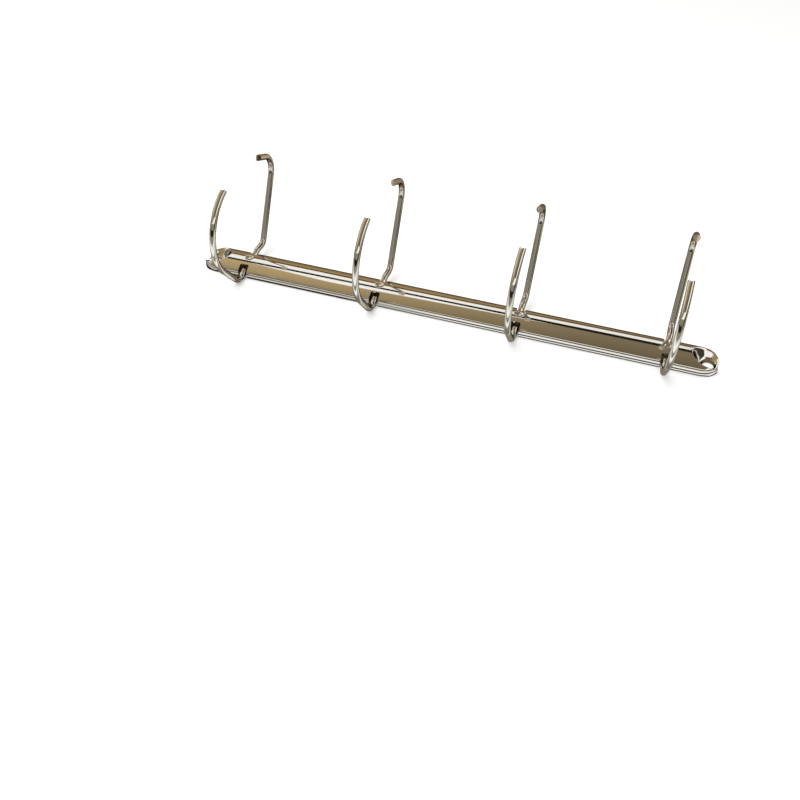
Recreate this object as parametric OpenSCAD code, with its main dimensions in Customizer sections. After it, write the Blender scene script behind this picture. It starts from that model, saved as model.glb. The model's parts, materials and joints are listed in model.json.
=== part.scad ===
// Ring binder mechanism: an arched sheet steel cover with two hinged rails under it.
// The near rail carries the bowed ring halves and the far rail carries the hooked posts.
// Both rails toggle together, so the rings open and close as one. Drawn open, base on z = 0.

/* [Cover] */
// Distance from the last ring to the end of the cover
end_margin = 26.5; // [24:0.5:36]
// Width of the cover across its rims
cover_w = 20.8; // [20:0.2:24]
// Height of the crown above the base
cover_h = 7.8; // [7.4:0.1:9]
// Radius of the arched crown
crown_r = 17; // [15:0.5:25]
// Thickness of the cover's sheet
sheet = 0.8; // [0.6:0.05:0.9]
// Outer radius of the bend from the crown to the side wall
shoulder_r = 2.4; // [1.6:0.1:3]
// Outer radius of the bend that turns the rim under
rim_r = 1.4; // [1.1:0.1:1.6]
// Width of the rim that is turned under each side, measured from the outside
lip_w = 2.6; // [2.2:0.1:3]

/* [Ends] */
// Distance of a rivet hole from the end of the cover
rivet_inset = 4.7; // [4.2:0.1:6]
// Diameter of a rivet hole
rivet_d = 6; // [4:0.1:6.6]
// Radius of the flat pad round a rivet hole
pad_r = 4.9; // [4.2:0.1:5.4]
// Radius of the dish that sinks the pad, at the height of the crown
dish_r = 9.5; // [8:0.1:10]
// Distance from the middle of the round nose to the flat end
nose_reach = 9.4; // [8:0.1:10]

/* [Ring stations] */
// Distance between rings
ring_pitch = 80; // [60:0.5:82]
// Width of the slots that the rings pass through
slot_w = 5.3; // [5:0.1:7]
// Distance of the near slot's end from the middle of the cover
near_slot_y = 5.9; // [5.3:0.1:6.1]
// Distance of the far slot's end from the middle of the cover
far_slot_y = 4.2; // [3.6:0.1:4.6]
// Corner radius at the end of a slot
slot_corner_r = 1.2; // [0.6:0.1:2]
// Diameter of the pressed dimple at each ring
dimple_d = 4.8; // [3:0.1:6]
// Depth of a dimple
dimple_depth = 0.9; // [0.5:0.05:1.2]

/* [Rails] */
// Distance of a rail's end from the end of the cover
rail_inset = 14.5; // [14:0.5:18]
// Thickness of a rail
rail_t = 0.8; // [0.7:0.05:0.9]
// Running clearance of a rail in its rim
rail_gap = 0.25; // [0.2:0.05:0.3]
// Clearance between the rails where they meet
hinge_gap = 0.3; // [0.2:0.05:0.5]
// Distance between interlocking tongues along the meeting edge
tongue_pitch = 24; // [16:1:30]
// Length of a tongue
tongue_l = 11; // [6:0.5:11.5]
// How far a tongue reaches past the middle
tongue_reach = 1.3; // [0.8:0.1:1.6]
// Tilt of the rails when the rings are open
open_tilt = 14; // [13:0.5:15]
// Angle that each half turns through between open and closed
swing = 20; // [18:0.5:20.5]

/* [Rings] */
// Diameter of the ring wire
wire_d = 3.5; // [3:0.1:3.7]
// Height of the wire's middle at the top of the closed rings
ring_h = 60.9; // [50:0.5:75]
// Gap between the two tips when the rings are closed
tip_gap = 0.3; // [0.2:0.05:0.6]
// Depth of the notch that the tips interlock with
nib_depth = 1.2; // [0.8:0.1:1.4]
// Angle that the bow of a curved half turns through
bow_turn = 114; // [110:1:118]
// Bend radius at the bottom of a curved half
toe_r = 9; // [7:0.25:10]
// Slope of a curved half where it enters its slot, rings closed
toe_rise = 5; // [2:0.5:8]
// Straight length of a curved half before its foot
toe_l = 1.8; // [1.4:0.1:2.4]
// Straight length at the tip of a post
hook_l = 9.5; // [7:0.5:14]
// Bend radius at the top of a post
hook_r = 10; // [7:0.5:13]
// Backward lean of the closed post
post_lean = 5; // [2:0.5:8]
// Bend radius of the elbow at the bottom of a post
elbow_r = 4.5; // [3.5:0.25:6]
// Slope of the run from the elbow to the slot, rings closed
run_slope = 20; // [16:1:24]
// Bend radius where a post turns down to its rail
ankle_r = 3; // [2.5:0.1:3.5]
// Turn of that bend
ankle_turn = 55; // [50:1:60]
// Straight length of a post above its foot
ankle_l = 2.6; // [2:0.1:3]

/* [Ring feet] */
// Distance of a foot's middle from the rail's pivot
foot_u = 2.9; // [2.8:0.05:3.1]
// Height of the wire's end above the middle of the rail
foot_h = 1.5; // [1.4:0.05:1.7]
// Height of a foot's block above the middle of the rail
block_h = 0.9; // [0.6:0.05:1.2]
// Width of a foot along the rail
foot_w = 4.2; // [4:0.1:5]
// Length of a foot across the rail
foot_l = 2.2; // [1.8:0.1:2.6]
// Thickness of the foot's staked edge under the rail
stake_t = 0.3; // [0.2:0.05:0.35]
// How far the staked edge spreads past the foot
stake_spread = 0.5; // [0.3:0.1:0.8]

/* [Hidden] */
$fn = 64;
nickel = [0.80, 0.77, 0.71];
steel = [0.70, 0.70, 0.68];
// Extra length of a cutting shape past the face that it cuts
cut = 1;
// A straight stretch of wire is drawn a little thinner than the bends and runs a little way into them
joint_step = 0.05;
joint_lap = 0.3;
// Number of rings, and where they stand along the cover
ring_count = 4;
stations = [for (i = [0 : ring_count - 1]) (i - (ring_count - 1) / 2) * ring_pitch];
half_w = cover_w / 2;
half_l = (ring_count - 1) * ring_pitch / 2 + end_margin;
rail_l = 2 * (half_l - rail_inset);
rivet_x = half_l - rivet_inset;
wire_r = wire_d / 2;
crown_z = cover_h - crown_r;
// Pivot of a rail: the middle of its rounded outer edge
pivot_y = half_w - sheet - rail_gap - rail_t / 2;
pivot_z = sheet + rail_gap + rail_t / 2;
closed_tilt = open_tilt - swing;
// Middle of the round nose at each end of the cover
nose_x = half_l - nose_reach;
// Slope of the dish's wall, as radius over height, and the wall's thickness measured level
dish_slope = (dish_r - pad_r) / (cover_h - sheet);
dish_wall = sheet * sqrt(1 + dish_slope * dish_slope);
// Distance of a wire's end from the rail's pivot: over the outer part of its foot
wire_end_u = foot_u - foot_l / 3;
// Tongues of the near rail sit on even places and those of the far rail on odd ones
tongue_places = floor((rail_l - tongue_l) / tongue_pitch / 2);

// Unit step along a heading in the plane of a ring
function step(a) = [cos(a), sin(a)];
// Travel of a bend of unit radius to the left, from heading a to heading b
function left_bend(a, b) = [sin(b) - sin(a), cos(a) - cos(b)];
// Travel of a bend of unit radius to the right, from heading a to heading b
function right_bend(a, b) = [sin(a) - sin(b), cos(b) - cos(a)];
// Lengths of two vectors p and q that add up to v
function lengths(p, q, v) =
    let (det = p.x * q.y - p.y * q.x)
    [(v.x * q.y - v.y * q.x) / det, (p.x * v.y - p.y * v.x) / det];
function turned(p, a) = [p.x * cos(a) - p.y * sin(a), p.x * sin(a) + p.y * cos(a)];
// Place of a point on the near rail, rings closed
function on_closed_rail(u, h) = [-pivot_y, pivot_z] + turned([u, h], closed_tilt);

// Puts the plane of a cross-section (across, up) upright, with its third axis along the cover
module upright() {
    rotate([90, 0, 90]) children();
}

// Turns what is drawn closed on the near side to the open rest position
module opened() {
    translate([-pivot_y, pivot_z, 0]) rotate(swing) translate([pivot_y, -pivot_z, 0]) children();
}

// Puts what is drawn on a level near rail, pivot at the origin, to the open rest position
module on_open_rail() {
    translate([-pivot_y, pivot_z, 0]) rotate(open_tilt) children();
}

module wire_straight(from, a, l) {
    translate([from.x, from.y, 0]) rotate([0, 90, a]) translate([0, 0, -joint_lap])
        cylinder(r = wire_r - joint_step, h = l + 2 * joint_lap);
}

// Round end of a post on its foot
module wire_end(at, a) {
    translate([at.x, at.y, 0]) rotate([0, 90, a]) sphere(wire_r);
}

// Bend of a wire about a centre, from one direction off the centre to another
module wire_bend(centre, from_a, to_a, r) {
    translate([centre.x, centre.y, 0]) rotate(from_a)
        rotate_extrude(angle = to_a - from_a) translate([r, 0]) circle(wire_r);
}

module wire_left(from, a, b, r) {
    wire_bend(from + r * [-sin(a), cos(a)], a - 90, b - 90, r);
}

module wire_right(from, a, b, r) {
    wire_bend(from - r * [-sin(a), cos(a)], b + 90, a + 90, r);
}

// Section of the cover, drawn inwards by a wall: crown, shoulders and rims
module cover_section(wall) {
    shoulder_y = half_w - shoulder_r;
    shoulder_z = crown_z + sqrt(pow(crown_r - shoulder_r, 2) - shoulder_y * shoulder_y);
    tangent_y = shoulder_y * (crown_r - wall) / (crown_r - shoulder_r);
    rim_y = half_w - rim_r;
    intersection() {
        translate([0, crown_z]) circle(crown_r - wall, $fn = 256);
        translate([-tangent_y, wall]) square([2 * tangent_y, cover_h]);
    }
    for (side = [-1, 1]) {
        translate([side * shoulder_y, shoulder_z]) circle(shoulder_r - wall);
        translate([side * rim_y, rim_r]) circle(rim_r - wall);
    }
    translate([wall - half_w, rim_r]) square([cover_w - 2 * wall, shoulder_z - rim_r]);
    translate([-rim_y, wall]) square([2 * rim_y, shoulder_z]);
}

// Form of the cover, drawn inwards by a wall: its section along the middle and turned round each nose
module cover_form(wall) {
    end_x = half_l - wall;
    intersection() {
        translate([-end_x, -half_w - cut, -cut]) cube([2 * end_x, cover_w + 2 * cut, cover_h + 2 * cut]);
        union() {
            upright() linear_extrude(2 * nose_x, center = true) cover_section(wall);
            for (end = [0, 1]) mirror([end, 0, 0]) translate([nose_x, 0, 0]) rotate(-90)
                rotate_extrude(angle = 180, $fn = 128) intersection() {
                    cover_section(wall);
                    square([cover_w, cover_h + cut]);
                }
        }
    }
}

// Space of the dish round a rivet hole, down to the pad
module dish() {
    rotate_extrude($fn = 128)
        polygon([[0, sheet], [pad_r, sheet],
                 [dish_r + cut * dish_slope, cover_h + cut], [0, cover_h + cut]]);
}

// Room that the dish and its wall take up
module dish_block() {
    foot_r = pad_r - dish_slope * (sheet + cut) + dish_wall;
    rotate_extrude($fn = 128)
        polygon([[0, -cut], [foot_r, -cut],
                 [dish_r + cut * dish_slope + dish_wall, cover_h + cut], [0, cover_h + cut]]);
}

module at_rivets() {
    for (end = [-1, 1]) translate([end * rivet_x, 0, 0]) children();
}

// Inside of the cover, with the way out between the rims, less the dishes
module cover_hollow() {
    difference() {
        union() {
            cover_form(sheet);
            translate([-nose_x, lip_w - half_w, -cut]) cube([2 * nose_x, cover_w - 2 * lip_w, rim_r + cut]);
            for (end = [-1, 1]) translate([end * nose_x, 0, -cut])
                cylinder(r = half_w - lip_w, h = rim_r + cut);
        }
        at_rivets() dish_block();
    }
}

// Slot from a given distance off the middle out through the rim, open downwards
module ring_slot(inner_y) {
    width = slot_w / 2 - slot_corner_r;
    depth = half_w + cut - inner_y;
    translate([0, 0, -cut]) linear_extrude(cover_h + 2 * cut) {
        translate([-slot_w / 2, inner_y + slot_corner_r]) square([slot_w, depth - slot_corner_r]);
        translate([-width, inner_y]) square([2 * width, depth]);
        for (side = [-1, 1]) translate([side * width, inner_y + slot_corner_r]) circle(slot_corner_r);
    }
}

module dimple(wall) {
    dimple_r = (dimple_d * dimple_d / 4 + dimple_depth * dimple_depth) / (2 * dimple_depth);
    translate([0, 0, cover_h - dimple_depth + dimple_r]) sphere(dimple_r + wall);
}

module cover() {
    color(nickel) difference() {
        union() {
            difference() {
                cover_form(0);
                at_rivets() dish();
                cover_hollow();
            }
            intersection() {
                for (x = stations) translate([x, 0, 0]) dimple(sheet);
                cover_form(sheet / 2);
            }
        }
        for (x = stations) translate([x, 0, 0]) {
            dimple(0);
            ring_slot(far_slot_y);
            mirror([0, 1, 0]) ring_slot(near_slot_y);
        }
        at_rivets() translate([0, 0, -cut]) cylinder(d = rivet_d, h = sheet + 2 * cut);
    }
}

// Tongues along the meeting edge of a rail, at every second place from the first
module tongues(first, from_u, to_u, grow) {
    for (k = [-tongue_places : tongue_places])
        if ((k + first) % 2 == 0)
            translate([from_u, -rail_t / 2 - grow, k * tongue_pitch - tongue_l / 2 - grow])
                cube([to_u - from_u, rail_t + 2 * grow, tongue_l + 2 * grow]);
}

// A rail drawn on the near side: rounded pivot edge, notches for the feet, tongues and their gaps
module rail(first) {
    edge_u = pivot_y - hinge_gap / 2;
    notch_u = foot_u + foot_l / 2;
    difference() {
        union() {
            cylinder(d = rail_t, h = rail_l, center = true);
            translate([0, -rail_t / 2, -rail_l / 2]) cube([edge_u, rail_t, rail_l]);
            tongues(first, edge_u - cut, pivot_y + tongue_reach, 0);
        }
        tongues(first + 1, pivot_y - tongue_reach - hinge_gap, pivot_y + cut, hinge_gap);
        for (x = stations) translate([-cut, -rail_t, x - foot_w / 2])
            cube([notch_u + cut, 2 * rail_t, foot_w]);
    }
}

module near_rail() {
    color(steel) upright() on_open_rail() rail(0);
}

module far_rail() {
    color(steel) upright() mirror([1, 0, 0]) on_open_rail() rail(1);
}

// Staked foot that fills the notch in its rail and holds the end of the wire
module foot() {
    low_u = foot_u - foot_l / 2;
    translate([low_u, -rail_t / 2 - stake_t / 2, -foot_w / 2])
        cube([foot_l, rail_t / 2 + stake_t / 2 + block_h, foot_w]);
    translate([low_u, -rail_t / 2 - stake_t, -foot_w / 2 - stake_spread])
        cube([foot_l + stake_spread, stake_t, foot_w + 2 * stake_spread]);
}

// Curved half: tip, bow, straight leg and toe, drawn closed from the tip down to the foot
module curved_ring() {
    tip = [-tip_gap / 2, ring_h];
    leg_a = 180 + bow_turn;
    toe_a = 360 + toe_rise;
    foot_at = on_closed_rail(wire_end_u, foot_h);
    toe = left_bend(leg_a, toe_a) * toe_r + toe_l * step(toe_a);
    sizes = lengths(left_bend(180, leg_a), step(leg_a), foot_at - tip - toe);
    bow_r = sizes[0];
    leg_l = sizes[1];
    leg_at = tip + bow_r * left_bend(180, leg_a);
    toe_at = leg_at + leg_l * step(leg_a);
    end_at = toe_at + toe_r * left_bend(leg_a, toe_a);
    color(nickel) upright() {
        opened() difference() {
            union() {
                wire_left(tip, 180, leg_a, bow_r);
                wire_straight(leg_at, leg_a, leg_l);
                wire_left(toe_at, leg_a, toe_a, toe_r);
                wire_straight(end_at, toe_a, toe_l);
            }
            nib_notch(tip);
        }
        on_open_rail() foot();
    }
}

// Upright V groove in the end face of a tip
module nib_notch(tip) {
    translate([tip.x - nib_depth, tip.y + wire_d, 0]) rotate([90, 0, 0]) linear_extrude(2 * wire_d)
        polygon([[0, 0], [wire_d, -wire_d], [wire_d, wire_d]]);
}

// What is cut off a post's end to leave the wedge that enters the groove
module nib_cheeks(tip) {
    translate([tip.x, tip.y + wire_d, 0]) rotate([90, 0, 0]) linear_extrude(2 * wire_d)
        for (side = [-1, 1])
            polygon([[0, 0], [cut, 0], [cut, side * wire_d], [-wire_d, side * wire_d]]);
}

// Hooked post, drawn closed on the near side from the tip down to the foot
module post_ring() {
    tip = [nib_depth - tip_gap / 2, ring_h];
    post_a = 270 + post_lean;
    run_a = 360 - run_slope;
    ankle_a = run_a - ankle_turn;
    foot_at = on_closed_rail(wire_end_u, foot_h);
    hook_at = [-tip_gap / 2 - hook_l, ring_h];
    post_at = hook_at + hook_r * left_bend(180, post_a);
    bends = elbow_r * left_bend(post_a, run_a) + ankle_r * right_bend(run_a, ankle_a);
    sizes = lengths(step(post_a), step(run_a), foot_at - post_at - bends - ankle_l * step(ankle_a));
    post_l = sizes[0];
    run_l = sizes[1];
    elbow_at = post_at + post_l * step(post_a);
    run_at = elbow_at + elbow_r * left_bend(post_a, run_a);
    ankle_at = run_at + run_l * step(run_a);
    shank_at = ankle_at + ankle_r * right_bend(run_a, ankle_a);
    color(nickel) upright() mirror([1, 0, 0]) {
        opened() difference() {
            union() {
                wire_straight(tip, 180, tip.x - hook_at.x);
                wire_left(hook_at, 180, post_a, hook_r);
                wire_straight(post_at, post_a, post_l);
                wire_left(elbow_at, post_a, run_a, elbow_r);
                wire_straight(run_at, run_a, run_l);
                wire_right(ankle_at, run_a, ankle_a, ankle_r);
                wire_straight(shank_at, ankle_a, ankle_l);
                wire_end(foot_at, ankle_a);
            }
            nib_cheeks(tip);
        }
        on_open_rail() foot();
    }
}

module at_station(i) {
    translate([stations[i - 1], 0, 0]) children();
}

module curved_ring_1() { at_station(1) curved_ring(); }
module curved_ring_2() { at_station(2) curved_ring(); }
module curved_ring_3() { at_station(3) curved_ring(); }
module curved_ring_4() { at_station(4) curved_ring(); }
module post_ring_1() { at_station(1) post_ring(); }
module post_ring_2() { at_station(2) post_ring(); }
module post_ring_3() { at_station(3) post_ring(); }
module post_ring_4() { at_station(4) post_ring(); }

cover();
near_rail();
far_rail();
curved_ring_1();
curved_ring_2();
curved_ring_3();
curved_ring_4();
post_ring_1();
post_ring_2();
post_ring_3();
post_ring_4();
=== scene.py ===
"""Ring binder mechanism: cover and rings in bright nickel, rails in satin zinc, on a plain pale floor."""
import json
from math import asin, atan2, cos, degrees, hypot, pi, radians, sin, sqrt
from typing import NamedTuple

import bmesh
import bpy
from bpy.props import FloatProperty, FloatVectorProperty, IntProperty, PointerProperty
from bpy.types import Operator, Panel, PropertyGroup
from mathutils import Matrix, Vector


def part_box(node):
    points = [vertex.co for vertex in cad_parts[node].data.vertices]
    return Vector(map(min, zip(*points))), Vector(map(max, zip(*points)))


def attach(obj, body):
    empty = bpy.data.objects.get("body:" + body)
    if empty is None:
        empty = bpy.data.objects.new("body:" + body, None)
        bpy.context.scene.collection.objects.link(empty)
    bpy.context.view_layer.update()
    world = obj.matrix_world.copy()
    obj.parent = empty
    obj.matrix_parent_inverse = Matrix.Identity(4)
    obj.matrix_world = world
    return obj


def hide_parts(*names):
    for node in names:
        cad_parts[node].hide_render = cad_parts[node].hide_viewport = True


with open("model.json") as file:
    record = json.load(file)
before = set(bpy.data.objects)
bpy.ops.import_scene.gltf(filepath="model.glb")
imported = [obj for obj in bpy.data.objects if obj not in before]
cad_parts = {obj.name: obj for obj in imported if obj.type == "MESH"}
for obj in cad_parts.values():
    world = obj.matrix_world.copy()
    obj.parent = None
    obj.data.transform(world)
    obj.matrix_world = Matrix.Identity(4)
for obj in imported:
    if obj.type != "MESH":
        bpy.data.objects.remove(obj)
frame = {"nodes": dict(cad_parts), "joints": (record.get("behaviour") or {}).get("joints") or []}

bl_info = {
    "name": "Ring Binder Mechanism",
    "version": (1, 0, 0),
    "blender": (4, 5, 0),
    "location": "View3D > Sidebar > Ring Binder",
    "description": "Builds the looks of a ring binder mechanism and its stage",
    "category": "Object",
}

COVER_LOW, COVER_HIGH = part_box("cover")
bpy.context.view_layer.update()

# Points closer than this are welded, in metres.
WELD = 1e-7
# How far a cutter stands past the sheet that it cuts.
CUT_MARGIN = 0.001
# Spacing of the cover's columns at a ring, in a dish and elsewhere.
RING_STEP, DISH_STEP, PLAIN_STEP = 0.00025, 0.0004, 0.003
# Reach of the finer columns to each side of a ring, and past a dish.
RING_REACH, DISH_REACH = 0.0036, 0.004
# Steps in the quarter turn of a nose and of a slot's corner, and round a rivet hole.
NOSE_STEPS, CORNER_STEPS, HOLE_STEPS = 36, 8, 64
# Degrees to a step along a bend of the wire, the fewest steps in a bend, and the sides of the wire.
BEND_STEP, BEND_LEAST, WIRE_SIDES = 2.5, 4, 40
# Side of the cubes that shape the wires' tips.
CUTTER = 0.01
# Fewer faces than these mean that a cut went wrong.
COVER_LEAST, RINGS_LEAST = 10000, 1000

# Wear of the plating: scale of its clouds and marks per metre, the marks' stretch along the part and depth.
CLOUD_SCALE, MARK_SCALE, MARK_STRETCH, MARK_DEPTH = 90.0, 2600.0, 0.06, 0.00002
# Values of the clouds between which the polish changes.
CLOUD_RANGE = (0.3, 0.7)

# Width of the camera's sensor in millimetres, and half the side of the floor in metres.
SENSOR_W, FLOOR_HALF = 36, 4.0
# Left end of the reflected cards, and the steps along and round each.
CARD_LEFT, CARD_STEPS = -1.6, 40
# Half width and foot of the cards across the ends, as shares of the room's radius.
END_HALF, END_FOOT = 0.9, 0.02
# Where the canopy's colour changes along the part, where its level changes across the room, and that level.
CANOPY_BLEND, CANOPY_DEPTH, CANOPY_LEVEL = (-0.62, 0.18), (-0.75, 0.45), (0.72, 1.2)

# Painted reflections: tones that the floor shows only to reflections, at millimetres off the cover, each a
# grey or a colour's name. The nearly black first stops next to the cover are a painted contact shadow.
MM = 0.001
FRONT_RIGHT = ((0.2, 0.01), (0.5, 0.02), (0.9, 1.0), (2.0, 1.0), (2.4, 0.08), (3.5, 0.08), (3.9, 1.0))
FRONT_LEFT = ((0.2, 0.01), (2.0, 0.02), (2.3, 0.8), (2.8, 0.8), (3.8, "left_painted_reflection"), (8.8, "left_painted_reflection"),
              (10, 1.0))
FRONT_FAR = ((14, 1.0), (19, "strip_painted_reflection"), (30, "strip_painted_reflection"), (36, 1.0), (42, 1.0), (46, "strip_painted_reflection"),
             (56, "strip_painted_reflection"), (62, 1.0), (85, 1.0), (160, "far_painted_reflection"))
BEHIND = ((14, "edge_painted_reflection"), (22, "behind_painted_reflection"), (75, "behind_painted_reflection"), (100, "edge_painted_reflection"))
# Where the left tones give way to the right ones, and the front ones to those behind.
FRONT_BLEND, FRONT_TO_BACK = (-0.06, 0.0), (-0.004, 0.012)


def length(name, default, description):
    """A size in metres."""
    return FloatProperty(name=name, description=description, default=default, unit="LENGTH", precision=5)


def angle(name, default, description):
    """An angle, given in degrees."""
    return FloatProperty(name=name, description=description, default=radians(default), subtype="ANGLE")


def factor(name, default, description):
    """A plain number."""
    return FloatProperty(name=name, description=description, default=default, precision=4)


def colour(name, default, description):
    """A linear colour."""
    return FloatVectorProperty(name=name, description=description, default=default, subtype="COLOR", size=3)


class CoverSizes(PropertyGroup):
    """Sizes of the arched cover."""
    crown_r: length("Crown radius", 0.017, "Radius of the arched crown")
    sheet: length("Sheet", 0.0008, "Thickness of the sheet")
    shoulder_r: length("Shoulder radius", 0.0024, "Bend from the crown to the side wall")
    rim_r: length("Rim radius", 0.0014, "Bend that turns the rim under")
    lip_w: length("Lip width", 0.0026, "Width of the turned-under rim")
    rivet_inset: length("Rivet inset", 0.0047, "Rivet hole to the end of the cover")
    rivet_d: length("Rivet hole", 0.006, "Diameter of a rivet hole")
    pad_r: length("Pad radius", 0.0049, "Flat pad round a rivet hole")
    dish_r: length("Dish radius", 0.0095, "Dish at the height of the crown")
    nose_reach: length("Nose reach", 0.0094, "Middle of the round nose to the end")
    dish_edge: length("Dish edge", 0.0012, "Softness of the dish's rim")
    pad_edge: length("Pad edge", 0.0015, "Softness of the rounding into the pad")
    slot_w: length("Slot width", 0.0053, "Width of a ring slot")
    near_slot_y: length("Near slot", 0.0059, "End of the near slot off the middle")
    far_slot_y: length("Far slot", 0.0042, "End of the far slot off the middle")
    slot_corner_r: length("Slot corner", 0.0012, "Corner radius of a slot")
    dimple_d: length("Dimple", 0.0048, "Diameter of a pressed dimple")
    dimple_depth: length("Dimple depth", 0.0009, "Depth of a dimple")
    dimple_edge: length("Dimple edge", 0.0004, "Softness of a dimple's rim")


class RingSizes(PropertyGroup):
    """Sizes of the bent wires and their feet."""
    count: IntProperty(name="Rings", description="Number of rings", default=4, min=1, max=8)
    pitch: length("Pitch", 0.08, "Distance between rings")
    wire_d: length("Wire", 0.0035, "Diameter of the wire")
    ring_h: length("Ring height", 0.0609, "Wire's middle at the top of the closed rings")
    tip_gap: length("Tip gap", 0.0003, "Gap between the closed tips")
    nib_depth: length("Nib depth", 0.0012, "Depth of the notch in a tip")
    bow_turn: angle("Bow turn", 114, "Turn of a curved half's bow")
    toe_r: length("Toe radius", 0.009, "Bend at the bottom of a curved half")
    toe_rise: angle("Toe rise", 5, "Slope of a curved half at its slot")
    toe_l: length("Toe length", 0.0018, "Straight stretch before the foot")
    hook_l: length("Hook length", 0.0095, "Straight stretch at a post's tip")
    hook_r: length("Hook radius", 0.01, "Bend at the top of a post")
    post_lean: angle("Post lean", 5, "Backward lean of the closed post")
    elbow_r: length("Elbow radius", 0.0045, "Bend at the bottom of a post")
    run_slope: angle("Run slope", 20, "Slope from the elbow to the slot")
    ankle_r: length("Ankle radius", 0.003, "Bend down to the rail")
    ankle_turn: angle("Ankle turn", 55, "Turn of that bend")
    ankle_l: length("Ankle length", 0.0026, "Straight stretch above the foot")
    open_tilt: angle("Open tilt", 14, "Tilt of the rails when open")
    rail_t: length("Rail thickness", 0.0008, "Thickness of a rail")
    foot_u: length("Foot place", 0.0029, "Foot's middle off the pivot")
    foot_h: length("Wire end", 0.0015, "Wire's end above the rail's middle")
    block_h: length("Block height", 0.0009, "Block above the rail's middle")
    foot_w: length("Foot width", 0.0042, "Foot along the rail")
    foot_l: length("Foot length", 0.0022, "Foot across the rail")
    stake_t: length("Stake thickness", 0.0003, "Staked edge under the rail")
    stake_spread: length("Stake spread", 0.0005, "Staked edge past the foot")


class FinishValues(PropertyGroup):
    """Colours and polish of the plating."""
    nickel: colour("Nickel", (0.93, 0.90, 0.83), "Bright nickel plate")
    nickel_dull: colour("Dull nickel", (0.86, 0.83, 0.76), "Nickel where handling has dulled it")
    edge_tint: colour("Edge tint", (0.22, 0.20, 0.16), "Tint of the plate seen at a glancing angle")
    nickel_rough: factor("Nickel roughness", 0.07, "Roughness of the polished plate")
    zinc: colour("Zinc", (0.62, 0.62, 0.60), "Zinc plate of the rails")
    zinc_dull: colour("Dull zinc", (0.48, 0.48, 0.46), "Zinc plate in its darker clouds")
    zinc_rough: factor("Zinc roughness", 0.34, "Roughness of the rails")


class StageValues(PropertyGroup):
    """Camera, light and surroundings."""
    lens: FloatProperty(name="Lens", description="Focal length in millimetres", default=39.03)
    camera_at: FloatVectorProperty(name="Camera", description="Place of the camera", precision=5,
                                   subtype="TRANSLATION", default=(0.090463, -0.388775, 0.279185))
    camera_right: FloatVectorProperty(name="Right", description="Right of the picture", precision=5,
                                      default=(0.94981157, 0.31118081, 0.0320076))
    camera_forward: FloatVectorProperty(name="Forward", description="Line of sight", precision=5,
                                        default=(-0.21483839, 0.72325475, -0.65631321))
    room_r: length("Room radius", 1.0, "Distance of the reflected surroundings")
    # Painted reflections: colours of glowing cards that only reflections show; they light nothing.
    canopy_right: colour("Canopy right", (0.165, 0.133, 0.084), "Surroundings overhead on the right")
    canopy_left: colour("Canopy left", (0.44, 0.335, 0.18), "Surroundings overhead on the left")
    warm_wall_glow: colour("Warm wall", (0.46, 0.31, 0.16), "Low wall behind")
    warm_trim_glow: colour("Warm trim", (0.11, 0.065, 0.012), "Darker upper edge of the low wall")
    bar: colour("Dark bar", (0.015, 0.012, 0.008), "Dark edge behind")
    near_wall: colour("Near wall", (0.24, 0.232, 0.185), "Low wall on the near side")
    left_wall: colour("Left wall", (0.17, 0.16, 0.125), "Low wall on the left")
    right_wall: colour("Right wall", (0.05, 0.045, 0.035), "Low wall on the right")
    # Painted reflections: tones that the floor shows only to reflections, not the floor's own colour.
    strip_painted_reflection: colour("Floor strip", (0.27, 0.26, 0.21), "Strip of the floor in front, in reflections")
    far_painted_reflection: colour("Far floor", (0.26, 0.25, 0.20), "Floor far in front, in reflections")
    left_painted_reflection: colour("Floor left", (0.20, 0.155, 0.105), "Floor close by on the left, in reflections")
    edge_painted_reflection: colour("Floor edge", (0.62, 0.52, 0.40), "Floor close behind, in reflections")
    behind_painted_reflection: colour("Floor behind", (0.10, 0.094, 0.072), "Floor behind, in reflections")
    ambient: factor("Ambient", 0.75, "Level of the soft light all round")
    key_power: factor("Key power", 9.0, "Power of the soft lamp in watts")
    key_size: length("Key size", 0.9, "Side of the soft lamp")
    key_at: FloatVectorProperty(name="Key", description="Place of the soft lamp", subtype="TRANSLATION",
                                default=(-0.35, -0.5, 1.1))
    floor: colour("Floor", (0.92, 0.92, 0.91), "Colour of the floor")
    floor_lift: factor("Floor lift", 0.12, "Extra white of the floor for the camera")


def smooth_min(a, b, k):
    """The smaller of two heights, rounded over k where they meet."""
    h = max(k - abs(a - b), 0.0) / k
    return min(a, b) - h * h * k / 4


def smooth_step(x):
    """A soft step from 0 to 1."""
    x = min(max(x, 0.0), 1.0)
    return x * x * (3 - 2 * x)


def stations():
    """Places of the rings along the cover."""
    rings = bpy.context.scene.ring_binder_rings
    return [(i - (rings.count - 1) / 2) * rings.pitch for i in range(rings.count)]


def mesh_object(name, mesh):
    """A new object at the origin that shows a mesh."""
    obj = bpy.data.objects.new(name, mesh)
    bpy.context.scene.collection.objects.link(obj)
    return obj


def finish_piece(obj, body, nodes, sharp=35):
    """Shades a piece, sharp from an angle in degrees, and hands it to its body in place of its CAD nodes."""
    bm = bmesh.new()
    bm.from_mesh(obj.data)
    bmesh.ops.recalc_face_normals(bm, faces=bm.faces)
    bm.to_mesh(obj.data)
    bm.free()
    obj.data.polygons.foreach_set("use_smooth", [True] * len(obj.data.polygons))
    obj.data.set_sharp_from_angle(angle=radians(sharp))
    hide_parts(*nodes)
    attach(obj, body)


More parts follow.
